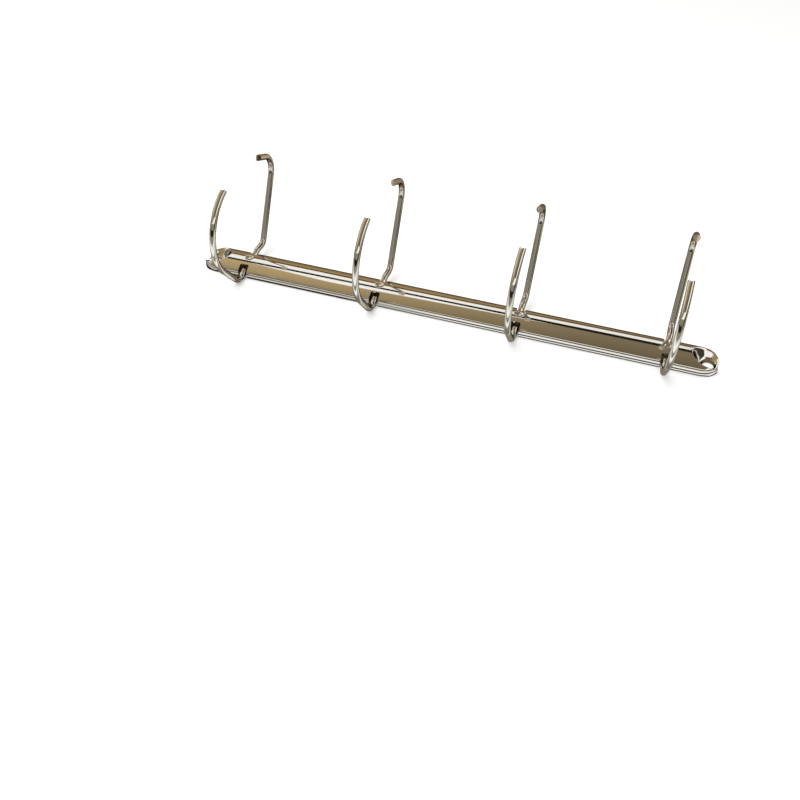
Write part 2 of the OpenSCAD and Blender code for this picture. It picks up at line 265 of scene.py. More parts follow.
class Section:
    """Half of the cover's section at a face of its sheet: wall 0 outside, the sheet's thickness inside."""
    # Steps along each stretch, and the row where the side wall starts.
    CROWN, SHOULDER, WALL, RIM = 36, 10, 3, 8
    WALL_ROW = CROWN + SHOULDER
    # Degrees from the point of a nose where the rim starts to turn under, and over how many it does.
    TURN_FROM, TURN_OVER = 55, 33
    # Share of the radius of a dimple's ball within which its height is worked out.
    DIMPLE_SHARE = 0.95
    # Least width in metres over which the crown and a dish are blended.
    SOFT_LEAST = 1e-6

    def __init__(self, sizes, wall):
        self.s = sizes
        self.wall = wall
        self.half_w = COVER_HIGH[1]
        self.cover_h = COVER_HIGH[2]
        self.half_l = COVER_HIGH[0]
        self.nose_x = self.half_l - sizes.nose_reach
        self.rivet_x = self.half_l - sizes.rivet_inset
        self.points = self.outline()

    def outline(self):
        """Points (across, up) from the middle of the crown to the lip's edge."""
        s, wall = self.s, self.wall
        crown_z = self.cover_h - s.crown_r
        shoulder_y = self.half_w - s.shoulder_r
        reach = s.crown_r - s.shoulder_r
        shoulder_z = crown_z + sqrt(reach * reach - shoulder_y * shoulder_y)
        turn = asin(shoulder_y / reach)
        crown_r, shoulder_r, rim_r = s.crown_r - wall, s.shoulder_r - wall, s.rim_r - wall
        points = []
        for i in range(self.CROWN):
            t = turn * i / self.CROWN
            points.append((crown_r * sin(t), crown_z + crown_r * cos(t)))
        for i in range(self.SHOULDER):
            t = turn + (pi / 2 - turn) * i / self.SHOULDER
            points.append((shoulder_y + shoulder_r * sin(t), shoulder_z + shoulder_r * cos(t)))
        for i in range(self.WALL):
            points.append((self.half_w - wall, shoulder_z + (s.rim_r - shoulder_z) * i / self.WALL))
        for i in range(self.RIM + 1):
            t = pi / 2 * i / self.RIM
            points.append((self.half_w - s.rim_r + rim_r * cos(t), s.rim_r - rim_r * sin(t)))
        points.append((self.half_w - s.lip_w, wall))
        self.shoulder_z = shoulder_z
        return points

    def dish(self, x, y):
        """Height of the dish round the nearer rivet hole."""
        s = self.s
        r = hypot(abs(x) - self.rivet_x, y)
        slope = (s.dish_r - s.pad_r) / (self.cover_h - s.sheet)
        thick = self.wall * sqrt(1 + slope * slope)
        cone = s.sheet + (r - s.pad_r - thick) / slope
        return -smooth_min(-(s.sheet - self.wall), -cone, s.pad_edge)

    def dimple(self, x, y):
        """Height of the dimple at the nearest ring, or None away from one."""
        s = self.s
        r = (s.dimple_d ** 2 / 4 + s.dimple_depth ** 2) / (2 * s.dimple_depth)
        away = min(hypot(x - at, y) for at in stations())
        if away >= self.DIMPLE_SHARE * (r + self.wall):
            return None
        return self.cover_h - s.dimple_depth + r - sqrt((r + self.wall) ** 2 - away * away)

    def place(self, row, direction, x0):
        """Point of a row in the plane that leaves the axis at x0 towards a direction in plan."""
        s = self.s
        w, z = self.points[row]
        last = len(self.points) - 1
        off_axis = degrees(atan2(abs(direction[1]), abs(direction[0])))
        fade = smooth_step((off_axis - self.TURN_FROM) / self.TURN_OVER)
        edge_w = self.half_w - self.wall
        foot_x, foot_y = x0 + edge_w * direction[0], edge_w * direction[1]
        if row >= self.WALL_ROW:
            if row > self.WALL_ROW + self.WALL:
                plain = s.rim_r * (last - row) / (last - self.WALL_ROW - self.WALL)
                w = edge_w + (w - edge_w) * fade
                z = plain + (z - plain) * fade
            top = min(self.shoulder_z, self.dish(foot_x, foot_y))
            z *= top / self.shoulder_z
            return Vector((x0 + w * direction[0], w * direction[1], z))
        x, y = x0 + w * direction[0], w * direction[1]
        dish = self.dish(x, y)
        soft = s.dish_edge * smooth_step((dish - s.sheet) / (2 * s.dish_edge)) + self.SOFT_LEAST
        z = smooth_min(z, dish, soft)
        dimple = self.dimple(x, y)
        if dimple is not None:
            z = smooth_min(z, dimple, s.dimple_edge)
        return Vector((x, y, z))


def quarter_turn(steps):
    """Angles of a quarter turn in even steps."""
    return [pi / 2 * i / steps for i in range(steps + 1)]


def cover_columns(section):
    """(place on the axis, direction) of each column on the near side, from left to right."""
    places = []
    beside = round(RING_REACH / RING_STEP)
    for at in stations():
        places += [at + i * RING_STEP for i in range(-beside, beside + 1)]
    dish_l = section.nose_x - (section.rivet_x - section.s.dish_r - DISH_REACH)
    steps = int(dish_l / DISH_STEP)
    for end in (-1, 1):
        places += [end * (section.nose_x - dish_l * i / steps) for i in range(steps + 1)]
    places.sort()
    filled = []
    for a, b in zip(places, places[1:]):
        parts = max(1, round((b - a) / PLAIN_STEP))
        filled += [a + (b - a) * i / parts for i in range(parts)]
    filled.append(places[-1])
    quarter = quarter_turn(NOSE_STEPS)
    left = [(-section.nose_x, (-cos(t), -sin(t))) for t in quarter[:-1]]
    right = [(section.nose_x, (sin(t), -cos(t))) for t in quarter[1:]]
    return left + [(x, (0.0, -1.0)) for x in filled] + right


def closed_mesh(name, bm):
    """A mesh of finished faces, all pointing outwards."""
    bmesh.ops.recalc_face_normals(bm, faces=bm.faces)
    mesh = bpy.data.meshes.new(name)
    bm.to_mesh(mesh)
    bm.free()
    return mesh


def cover_sheet(sizes):
    """The cover as a closed sheet, before its holes."""
    bm = bmesh.new()
    outer, inner = Section(sizes, 0.0), Section(sizes, sizes.sheet)
    columns = cover_columns(outer)
    rows = len(outer.points)
    edges = {}
    for face, section in enumerate((outer, inner)):
        for side in (-1, 1):
            grid = []
            for x0, direction in columns:
                turned = (direction[0], -side * direction[1])
                grid.append([bm.verts.new(section.place(row, turned, x0)) for row in range(rows)])
            for a, b in zip(grid, grid[1:]):
                for i in range(rows - 1):
                    bm.faces.new((a[i], a[i + 1], b[i + 1], b[i]))
            edges[face, side] = [column[-1] for column in grid]
    for side in (-1, 1):
        lower, upper = edges[0, side], edges[1, side]
        for i in range(len(lower) - 1):
            bm.faces.new((lower[i], lower[i + 1], upper[i + 1], upper[i]))
    bmesh.ops.remove_doubles(bm, verts=bm.verts, dist=WELD)
    bmesh.ops.dissolve_degenerate(bm, edges=bm.edges, dist=WELD)
    for end in (-1, 1):
        cut = bmesh.ops.bisect_plane(bm, geom=bm.verts[:] + bm.edges[:] + bm.faces[:], dist=WELD,
                                     plane_co=(end * outer.half_l, 0, 0), plane_no=(end, 0, 0),
                                     clear_outer=True)
        rim = [item for item in cut["geom_cut"] if isinstance(item, bmesh.types.BMEdge)]
        bmesh.ops.holes_fill(bm, edges=rim, sides=0)
    return closed_mesh("cover_sheet", bm)


def prism(bm, outline, low, high):
    """Adds an upright prism on an outline in plan."""
    bottom = [bm.verts.new((x, y, low)) for x, y in outline]
    top = [bm.verts.new((x, y, high)) for x, y in outline]
    bm.faces.new(bottom[::-1])
    bm.faces.new(top)
    for i in range(len(outline)):
        j = (i + 1) % len(outline)
        bm.faces.new((bottom[i], bottom[j], top[j], top[i]))


def slot_outline(sizes, at, inner_y, side):
    """Outline in plan of a ring slot: rounded at its inner end, open through the rim."""
    r, half = sizes.slot_corner_r, sizes.slot_w / 2
    outer_y = COVER_HIGH[1] + CUT_MARGIN
    quarter = quarter_turn(CORNER_STEPS)
    points = [(half, outer_y), (-half, outer_y)]
    points += [(-half + r - r * cos(t), inner_y + r - r * sin(t)) for t in quarter]
    points += [(half - r + r * sin(t), inner_y + r - r * cos(t)) for t in quarter]
    return [(at + x, side * y) for x, y in points]


def cover_holes(sizes):
    """Everything that is cut out of the cover."""
    bm = bmesh.new()
    low, high = COVER_LOW[2] - CUT_MARGIN, COVER_HIGH[2] + CUT_MARGIN
    for at in stations():
        prism(bm, slot_outline(sizes, at, sizes.far_slot_y, 1), low, high)
        prism(bm, slot_outline(sizes, at, sizes.near_slot_y, -1), low, high)
    rivet_x, rivet_r = COVER_HIGH[0] - sizes.rivet_inset, sizes.rivet_d / 2
    turns = [2 * pi * i / HOLE_STEPS for i in range(HOLE_STEPS)]
    for end in (-1, 1):
        circle = [(end * rivet_x + rivet_r * cos(t), rivet_r * sin(t)) for t in turns]
        prism(bm, circle, low, high)
    return closed_mesh("cover_holes", bm)


class RINGBINDER_OT_cover(Operator):
    """Build the arched cover with its dishes, dimples and slots"""
    bl_idname = "ring_binder.cover"
    bl_label = "Cover"

    def execute(self, context):
        sizes = context.scene.ring_binder_cover
        plate = mesh_object("cover_plate", cover_sheet(sizes))
        holes = mesh_object("cover_holes", cover_holes(sizes))
        cut = plate.modifiers.new("Holes", "BOOLEAN")
        cut.operation = "DIFFERENCE"
        cut.solver = "EXACT"
        cut.object = holes
        bake(plate)
        bpy.data.objects.remove(holes)
        plate.data.materials.clear()
        plate.data.materials.append(nickel_plate(context.scene.ring_binder_finish))
        finish_piece(plate, "cover", ["cover"], sharp=30)
        if len(plate.data.polygons) < COVER_LEAST:
            raise RuntimeError("the cover lost faces when its holes were cut")
        return {"FINISHED"}


def bake(obj):
    """Turns an object with modifiers into a plain mesh."""
    evaluated = obj.evaluated_get(bpy.context.evaluated_depsgraph_get())
    mesh = bpy.data.meshes.new_from_object(evaluated)
    obj.modifiers.clear()
    obj.data = mesh


def step(a):
    """Unit step along a heading in the plane of a ring."""
    return Vector((cos(a), sin(a)))


def left_bend(a, b):
    """Travel of a bend of unit radius to the left."""
    return Vector((sin(b) - sin(a), cos(a) - cos(b)))


def lengths(p, q, v):
    """Multiples of two vectors p and q that add up to v."""
    det = p.x * q.y - p.y * q.x
    return (v.x * q.y - v.y * q.x) / det, (p.x * v.y - p.y * v.x) / det


class Wire:
    """A path of bends and straights in the plane of a ring."""

    def __init__(self, start, heading):
        self.points = [Vector(start)]
        self.heading = heading

    def straight(self, run):
        """Runs straight on."""
        self.points.append(self.points[-1] + run * step(self.heading))

    def bend(self, turn, r):
        """Bends by an angle, to the left if it is positive."""
        start, heading = self.points[-1], self.heading
        parts = max(BEND_LEAST, round(abs(degrees(turn)) / BEND_STEP))
        sign = 1 if turn > 0 else -1
        for i in range(1, parts + 1):
            self.points.append(start + sign * r * left_bend(heading, heading + turn * i / parts))
        self.heading = heading + turn


class Hinge:
    """Where a half turns: its pivot, and the angle from closed to open."""

    def __init__(self, joint_name):
        joint = next(j for j in frame["joints"] if j["name"] == joint_name)
        self.y, self.z = joint["pos_m"][1], joint["pos_m"][2]
        self.swing = radians(joint["range_deg"][1] - joint["range_deg"][0])
        self.side = -1 if self.y < 0 else 1

    def foot_end(self, rings):
        """Place of the wire's end on the closed rail, a third of the foot's length outside its middle."""
        tilt = rings.open_tilt - self.swing
        u, h = rings.foot_u - rings.foot_l / 3, rings.foot_h
        across, up = u * cos(tilt) - h * sin(tilt), u * sin(tilt) + h * cos(tilt)
        return Vector((across - abs(self.y), up + self.z))


def curved_path(rings, hinge):
    """Closed curved half, from its tip down to its foot. Across is below 0 on the hinge's own side."""
    tip = Vector((-rings.tip_gap / 2, rings.ring_h))
    leg_a, toe_a = pi + rings.bow_turn, 2 * pi + rings.toe_rise
    toe = rings.toe_r * left_bend(leg_a, toe_a) + rings.toe_l * step(toe_a)
    bow_r, leg_l = lengths(left_bend(pi, leg_a), step(leg_a), hinge.foot_end(rings) - tip - toe)
    wire = Wire(tip, pi)
    wire.bend(rings.bow_turn, bow_r)
    wire.straight(leg_l)
    wire.bend(toe_a - leg_a, rings.toe_r)
    wire.straight(rings.toe_l)
    return wire.points


def post_path(rings, hinge):
    """Closed hooked post, from its tip down into its foot. Across is below 0 on the hinge's own side."""
    tip = Vector((rings.nib_depth - rings.tip_gap / 2, rings.ring_h))
    hook_at = Vector((-rings.tip_gap / 2 - rings.hook_l, rings.ring_h))
    post_a, run_a = 1.5 * pi + rings.post_lean, 2 * pi - rings.run_slope
    ankle_a = run_a - rings.ankle_turn
    post_at = hook_at + rings.hook_r * left_bend(pi, post_a)
    bends = rings.elbow_r * left_bend(post_a, run_a) - rings.ankle_r * left_bend(run_a, ankle_a)
    rest = hinge.foot_end(rings) - post_at - bends - rings.ankle_l * step(ankle_a)
    post_l, run_l = lengths(step(post_a), step(run_a), rest)
    wire = Wire(tip, pi)
    wire.straight(tip.x - hook_at.x)
    wire.bend(post_a - pi, rings.hook_r)
    wire.straight(post_l)
    wire.bend(run_a - post_a, rings.elbow_r)
    wire.straight(run_l)
    wire.bend(-rings.ankle_turn, rings.ankle_r)
    wire.straight(rings.ankle_l + rings.foot_h - rings.block_h + rings.stake_t)
    return wire.points


def path_mesh(name, points, side):
    """A path in the plane of a ring as a line of edges, mirrored for the far side."""
    mesh = bpy.data.meshes.new(name)
    verts = [(0, -side * p.x, p.y) for p in points]
    mesh.from_pydata(verts, [(i, i + 1) for i in range(len(points) - 1)], [])
    return mesh


class Tree:
    """A short way to add and join nodes."""

    def __init__(self, tree):
        self.tree = tree

    def add(self, kind, settings=None, **inputs):
        """Adds a node, with its settings, and its inputs as sockets to join or values."""
        node = self.tree.nodes.new(kind)
        for name, value in (settings or {}).items():
            setattr(node, name, value)
        for name, value in inputs.items():
            self.feed(node, name.replace("_", " "), value)
        return node

    def feed(self, node, name, value):
        """Joins a socket to an input, or sets the input's value."""
        socket = next(s for s in node.inputs if s.enabled and s.name.lower() == name.lower())
        if isinstance(value, bpy.types.NodeSocket):
            self.tree.links.new(value, socket)
        else:
            socket.default_value = value

    def join(self, node, *sockets):
        """Joins sockets to the inputs of a node in their order."""
        for socket, given in zip(node.inputs, sockets):
            self.tree.links.new(given, socket)


def maths(tree, operation, a, b=None):
    """One step of arithmetic on sockets or numbers."""
    node = tree.add("ShaderNodeMath", {"operation": operation})
    for socket, value in zip(node.inputs, (a, b)):
        if isinstance(value, bpy.types.NodeSocket):
            tree.tree.links.new(value, socket)
        elif value is not None:
            socket.default_value = value
    return node.outputs[0]


def map_range(tree, value, source, target=(0.0, 1.0), smooth=False):
    """A value carried from one range to another."""
    kind = "SMOOTHSTEP" if smooth else "LINEAR"
    node = tree.add("ShaderNodeMapRange", {"interpolation_type": kind}, Value=value, From_Min=source[0],
                    From_Max=source[1], To_Min=target[0], To_Max=target[1])
    return node.outputs[0]


def blend(tree, mode, amount, a, b):
    """Two colours blended."""
    node = tree.add("ShaderNodeMix", {"data_type": "RGBA", "blend_type": mode}, Factor=amount, A=a, B=b)
    return next(s for s in node.outputs if s.enabled)


def object_place(tree):
    """X, Y and Z in the object's own frame."""
    where = tree.add("ShaderNodeTexCoord").outputs["Object"]
    return tree.add("ShaderNodeSeparateXYZ", Vector=where).outputs


def new_material(name):
    """A material with no nodes yet, and its tree."""
    material = bpy.data.materials.new(name)
    material.use_nodes = True
    material.node_tree.nodes.clear()
    return material, Tree(material.node_tree)


# Inputs of the ring nodes after the path, by kind of socket.
RING_INPUTS = {
    "NodeSocketFloat": ("Wire Radius",),
    "NodeSocketInt": ("Ring Count",),
    "NodeSocketVector": ("First", "Pitch", "Cutter Size", "Cutter A", "Cutter B", "Cutter Turn", "Pivot",
                         "Swing", "Tilt", "Block Size", "Block Place", "Stake Size", "Stake Place"),
    "NodeSocketMaterial": ("Finish",),
}


def ring_tree(name, cutters):
    """Geometry Nodes: sweeps a wire along its path, shapes its tip, opens it, adds its foot, repeats it."""
    group = bpy.data.node_groups.new(name, "GeometryNodeTree")
    group.interface.new_socket("Path", in_out="INPUT", socket_type="NodeSocketGeometry")
    for kind, labels in RING_INPUTS.items():
        for label in labels:
            group.interface.new_socket(label, in_out="INPUT", socket_type=kind)
    group.interface.new_socket("Rings", in_out="OUTPUT", socket_type="NodeSocketGeometry")
    tree = Tree(group)
    given = tree.add("NodeGroupInput").outputs
    curve = tree.add("GeometryNodeMeshToCurve", Mesh=given["Path"])
    profile = tree.add("GeometryNodeCurvePrimitiveCircle", Resolution=WIRE_SIDES, Radius=given["Wire Radius"])
    tube = tree.add("GeometryNodeCurveToMesh", Curve=curve.outputs[0], Profile_Curve=profile.outputs[0],
                    Fill_Caps=True)
    shaped = tube.outputs[0]
    for label in cutters:
        cube = tree.add("GeometryNodeMeshCube", Size=given["Cutter Size"])
        placed = tree.add("GeometryNodeTransform", Geometry=cube.outputs[0], Translation=given[label],
                          Rotation=given["Cutter Turn"])
        cut = tree.add("GeometryNodeMeshBoolean", {"operation": "DIFFERENCE", "solver": "EXACT"})
        tree.join(cut, shaped, placed.outputs[0])
        shaped = cut.outputs[0]
    back = tree.add("ShaderNodeVectorMath", {"operation": "SCALE"}, Vector=given["Pivot"], Scale=-1.0)
    to_pivot = tree.add("GeometryNodeTransform", Geometry=shaped, Translation=back.outputs[0])
    swung = tree.add("GeometryNodeTransform", Geometry=to_pivot.outputs[0], Translation=given["Pivot"],
                     Rotation=given["Swing"])
    join = tree.add("GeometryNodeJoinGeometry")
    tree.join(join, swung.outputs[0])
    for part in ("Block", "Stake"):
        cube = tree.add("GeometryNodeMeshCube", Size=given[part + " Size"])
        level = tree.add("GeometryNodeTransform", Geometry=cube.outputs[0],
                         Translation=given[part + " Place"])
        tilted = tree.add("GeometryNodeTransform", Geometry=level.outputs[0], Translation=given["Pivot"],
                          Rotation=given["Tilt"])
        tree.join(join, tilted.outputs[0])
    row = tree.add("GeometryNodeMeshLine", Count=given["Ring Count"], Start_Location=given["First"],
                   Offset=given["Pitch"])
    copies = tree.add("GeometryNodeInstanceOnPoints", Points=row.outputs[0], Instance=join.outputs[0])
    real = tree.add("GeometryNodeRealizeInstances", Geometry=copies.outputs[0])
    finish = tree.add("GeometryNodeSetMaterial", Geometry=real.outputs[0], Material=given["Finish"])
    tree.add("NodeGroupOutput", Rings=finish.outputs[0])
    return group


class RINGBINDER_OT_rings(Operator):
    """Build the curved halves and the hooked posts"""
    bl_idname = "ring_binder.rings"
    bl_label = "Rings"

    def execute(self, context):
        rings = context.scene.ring_binder_rings
        near, far = Hinge("near_swing"), Hinge("far_swing")
        self.build(context, "curved_rings", near, curved_path(rings, near), ["Cutter A"], "near_half")
        self.build(context, "post_rings", far, post_path(rings, far), ["Cutter A", "Cutter B"], "far_half")
        return {"FINISHED"}

    def build(self, context, name, hinge, points, cutters, body):
        """Builds the halves of one body and hands them over."""
        rings = context.scene.ring_binder_rings
        piece = mesh_object(name, path_mesh(name, points, hinge.side))
        group = ring_tree(name, cutters)
        modifier = piece.modifiers.new("Rings", "NODES")
        modifier.node_group = group
        values = self.values(hinge, points[0], cutters, rings)
        values["Finish"] = nickel_plate(context.scene.ring_binder_finish)
        for item in group.interface.items_tree:
            if item.in_out == "INPUT" and item.name in values:
                modifier[item.identifier] = values[item.name]
        bake(piece)
        if len(piece.data.polygons) < RINGS_LEAST:
            raise RuntimeError(name + " has too few faces")
        stem = name[:-1]
        finish_piece(piece, body, [f"{stem}_{i + 1}" for i in range(rings.count)])

    def values(self, hinge, tip, cutters, rings):
        """Sizes and places for the ring nodes, in metres and radians."""
        side, half_diagonal = hinge.side, CUTTER / sqrt(2)
        foot_low = rings.foot_u - rings.foot_l / 2
        half_t = rings.rail_t / 2
        block_from = -half_t - rings.stake_t / 2
        block_h = rings.block_h - block_from
        stake_l = rings.foot_l + rings.stake_spread
        if len(cutters) == 1:
            a = (0, -side * (tip.x - rings.nib_depth + half_diagonal), tip.y)
            b = a
        else:
            a = (half_diagonal, -side * tip.x, tip.y)
            b = (-half_diagonal, -side * tip.x, tip.y)
        return {
            "Wire Radius": rings.wire_d / 2,
            "Ring Count": rings.count,
            "First": (stations()[0], 0, 0),
            "Pitch": (rings.pitch, 0, 0),
            "Cutter Size": (CUTTER, CUTTER, CUTTER),
            "Cutter A": a,
            "Cutter B": b,
            "Cutter Turn": (0, 0, pi / 4),
            "Pivot": (0, hinge.y, hinge.z),
            "Swing": (-side * hinge.swing, 0, 0),
            "Tilt": (-side * rings.open_tilt, 0, 0),
            "Block Size": (rings.foot_w, rings.foot_l, block_h),
            "Block Place": (0, -side * rings.foot_u, block_from + block_h / 2),
            "Stake Size": (rings.foot_w + 2 * rings.stake_spread, stake_l, rings.stake_t),
            "Stake Place": (0, -side * (foot_low + stake_l / 2), -half_t - rings.stake_t / 2),
        }


class RINGBINDER_OT_rails(Operator):
    """Give the rails their satin zinc plate"""
    bl_idname = "ring_binder.rails"
    bl_label = "Rails"

    def execute(self, context):
        finish = zinc_plate(context.scene.ring_binder_finish)
        for name in ("near_rail", "far_rail"):
            rail = frame["nodes"][name]
            for i in range(len(rail.data.materials)):
                rail.data.materials[i] = finish
        return {"FINISHED"}


def wear_group():
    """Shader group: soft clouds of handling and fine marks along the part, as masks."""
    group = bpy.data.node_groups.get("Plating Wear")
    if group:
        return group
    group = bpy.data.node_groups.new("Plating Wear", "ShaderNodeTree")
    for way, names in (("INPUT", ("Cloud Scale", "Mark Scale")), ("OUTPUT", ("Cloud", "Marks"))):
        for name in names:
            group.interface.new_socket(name, in_out=way, socket_type="NodeSocketFloat")
    tree = Tree(group)
    given = tree.add("NodeGroupInput").outputs
    where = tree.add("ShaderNodeTexCoord").outputs["Object"]
    cloud = tree.add("ShaderNodeTexNoise", Vector=where, Scale=given["Cloud Scale"], Detail=3.0,
                     Roughness=0.55)
    drawn = tree.add("ShaderNodeMapping", Vector=where, Scale=(MARK_STRETCH, 1.0, 1.0))
    marks = tree.add("ShaderNodeTexNoise", Vector=drawn.outputs[0], Scale=given["Mark Scale"], Detail=2.0)
    tree.add("NodeGroupOutput", Cloud=cloud.outputs[0], Marks=marks.outputs[0])
    return group


def plating(name, bright, dull, rough, spread, bump, edge=None):
    """A plated metal whose tone and polish follow the wear masks."""
    material = bpy.data.materials.get(name)
    if material:
        return material
    material, tree = new_material(name)
    wear = tree.add("ShaderNodeGroup", {"node_tree": wear_group()}, Cloud_Scale=CLOUD_SCALE,
                    Mark_Scale=MARK_SCALE)
    tone = blend(tree, "MIX", wear.outputs["Cloud"], (*bright, 1), (*dull, 1))
    polish = map_range(tree, wear.outputs["Cloud"], CLOUD_RANGE, (rough - spread, rough + spread))
    relief = tree.add("ShaderNodeBump", Strength=bump, Distance=MARK_DEPTH, Height=wear.outputs["Marks"])
    shader = tree.add("ShaderNodeBsdfPrincipled", Base_Color=tone, Metallic=1.0, Roughness=polish,
                      Normal=relief.outputs[0])
    if edge:
        tree.feed(shader, "Specular Tint", (*edge, 1))
    tree.add("ShaderNodeOutputMaterial", Surface=shader.outputs[0])
    return material


def nickel_plate(finish):
    """Bright polished nickel."""
    return plating("nickel_plate", finish.nickel, finish.nickel_dull, finish.nickel_rough, spread=0.02,
                   bump=0.003, edge=finish.edge_tint)


def zinc_plate(finish):
    """Satin zinc plate."""
    return plating("zinc_plate", finish.zinc, finish.zinc_dull, finish.zinc_rough, spread=0.06, bump=0.3)


class RINGBINDER_OT_stage(Operator):
    """Set up the camera, floor, light and surroundings"""
    bl_idname = "ring_binder.stage"
    bl_label = "Stage"

    def execute(self, context):
        scene = context.scene
        stage = scene.ring_binder_stage
        scene.view_settings.view_transform = "Standard"
        self.camera(scene, stage)
        self.world(scene, stage)
        corners = [(-FLOOR_HALF, -FLOOR_HALF, 0), (FLOOR_HALF, -FLOOR_HALF, 0),
                   (FLOOR_HALF, FLOOR_HALF, 0), (-FLOOR_HALF, FLOOR_HALF, 0)]
        floor = sheet_object("floor", corners, [(0, 1, 2, 3)], floor_material(stage))
        self.key(scene, stage)
        self.surroundings(stage)
        return {"FINISHED"}

    def camera(self, scene, stage):
        """The camera as the photograph was taken."""
        data = bpy.data.cameras.new("camera")
        data.sensor_width = SENSOR_W
        data.lens = stage.lens
        right = Vector(stage.camera_right).normalized()
        back = -Vector(stage.camera_forward).normalized()
        up = back.cross(right)
        camera = bpy.data.objects.new("camera", data)
        turn = Matrix((right, up, back)).transposed().to_4x4()
        camera.matrix_world = Matrix.Translation(stage.camera_at) @ turn
        scene.collection.objects.link(camera)
        scene.camera = camera

    def world(self, scene, stage):
        """White all round for the camera and for reflections, a softer level for the rest."""
        world = bpy.data.worlds.new("world")
        world.use_nodes = True
        world.node_tree.nodes.clear()
        tree = Tree(world.node_tree)
        path = tree.add("ShaderNodeLightPath").outputs
        seen = maths(tree, "MAXIMUM", path["Is Camera Ray"], path["Is Glossy Ray"])
        level = map_range(tree, seen, (0.0, 1.0), (stage.ambient, 1.0))
        light = tree.add("ShaderNodeBackground", Color=(1, 1, 1, 1), Strength=level)
        tree.add("ShaderNodeOutputWorld", Surface=light.outputs[0])
        scene.world = world

    def key(self, scene, stage):
        """The soft lamp, which points at the part and isn't mirrored in it."""
        lamp = bpy.data.lights.new("key", "AREA")
        lamp.energy = stage.key_power
        lamp.size = stage.key_size
        place = Vector(stage.key_at)
        turn = (-place).to_track_quat("-Z", "Y").to_matrix().to_4x4()
        key = bpy.data.objects.new("key", lamp)
        key.matrix_world = Matrix.Translation(place) @ turn
        key.visible_glossy = False
        scene.collection.objects.link(key)
        return key

    def surroundings(self, stage):
        """Glowing cards round the part that only its reflections show: painted reflections of the
        surroundings, which light nothing and cast no shadow.
        """
        r = stage.room_r
        closer, farther = 0.98 * r, 1.02 * r
        dark = glow("dark_bar", stage.bar)
        cards = (
            card("canopy", r, canopy_back, CANOPY_FRONT, canopy_glow(stage), right=0.8),
            card("near_wall", r, NEAR_WALL_TOP, NEAR_WALL_FOOT, glow("near_wall", stage.near_wall),
                 right=1.2),
            card("warm_wall", farther, HORIZON, WARM_TOP, glow("warm_wall", stage.warm_wall_glow), right=0.9),
            card("warm_trim", r, trim_foot, WARM_TOP, glow("warm_trim", stage.warm_trim_glow), right=0.9),
            end_wall("left_wall", r, glow("left_wall", stage.left_wall), x=-1.5, top=0.5),
            end_wall("right_wall", r, glow("right_wall", stage.right_wall), x=0.9, top=0.42),
            card("bar", closer, bar_foot, bar_top, dark, right=0.7),
            card("low_bar", closer, LOW_BAR_TOP, LOW_BAR_FOOT, dark, right=0.9),
        )
        for obj in cards:
            obj.visible_camera = False
            obj.visible_diffuse = False
            obj.visible_transmission = False
            obj.visible_shadow = False
        return cards


class Edge(NamedTuple):
    """Edge of a card in degrees from the far horizon over the top: a slope along the part, within limits."""
    middle: float
    per_metre: float = 0.0
    low: float = 0.0
    high: float = 360.0

    def __call__(self, x):
        """Degrees at a place along the part."""
        return min(max(self.middle + self.per_metre * x, self.low), self.high)


HORIZON = Edge(0)
CANOPY_BACK_LEFT = Edge(114.5, 90, low=62)
CANOPY_BACK_RIGHT = Edge(52.224, -62, low=25)
CANOPY_FRONT = Edge(142.2, -24, low=139, high=152)
NEAR_WALL_TOP = Edge(153)
NEAR_WALL_FOOT = Edge(168)
LOW_BAR_TOP = Edge(166)
LOW_BAR_FOOT = Edge(181)
WARM_TOP = Edge(22.5, -40, low=16, high=34)
TRIM_H = 9
BAR_MIDDLE = Edge(46.3, -25, low=20, high=70)
BAR_HALF = Edge(6.2, 9, low=4.6, high=7)


def canopy_back(x):
    """The canopy's far edge, which falls away to both sides."""
    return min(CANOPY_BACK_LEFT(x), CANOPY_BACK_RIGHT(x))


def trim_foot(x):
    """Lower edge of the darker band at the top of the wall behind."""
    return WARM_TOP(x) - TRIM_H


def bar_foot(x):
    """Lower edge of the dark bar behind, which widens to the right."""
    return BAR_MIDDLE(x) - BAR_HALF(x)


def bar_top(x):
    """Upper edge of the dark bar behind."""
    return BAR_MIDDLE(x) + BAR_HALF(x)


def sheet_object(name, verts, faces, material):
    """A new object that shows plain faces in one material."""
    mesh = bpy.data.meshes.new(name)
    mesh.from_pydata(verts, [], faces)
    mesh.materials.append(material)
    return mesh_object(name, mesh)


def card(name, r, low, high, material, right):
    """Part of a cylinder along X, from the left of the room to a right end, between two edges."""
    verts, faces = [], []
    for i in range(CARD_STEPS + 1):
        x = CARD_LEFT + (right - CARD_LEFT) * i / CARD_STEPS
        a, b = low(x), high(x)
        for j in range(CARD_STEPS + 1):
            t = radians(a + (b - a) * j / CARD_STEPS)
            verts.append((x, r * cos(t), r * sin(t)))
    for i in range(CARD_STEPS):
        for j in range(CARD_STEPS):
            k = i * (CARD_STEPS + 1) + j
            faces.append((k, k + 1, k + CARD_STEPS + 2, k + CARD_STEPS + 1))
    return sheet_object(name, verts, faces, material)


def end_wall(name, r, material, x, top):
    """An upright card across an end of the room, its place and top as shares of the room's radius."""
    corners = ((-END_HALF, END_FOOT), (END_HALF, END_FOOT), (END_HALF, top), (-END_HALF, top))
    return sheet_object(name, [(x * r, y * r, z * r) for y, z in corners], [(0, 1, 2, 3)], material)


def glow(name, shade):
    """A plain glowing card."""
    material, tree = new_material(name)
    light = tree.add("ShaderNodeEmission", Color=(*shade, 1))
    tree.add("ShaderNodeOutputMaterial", Surface=light.outputs[0])
    return material


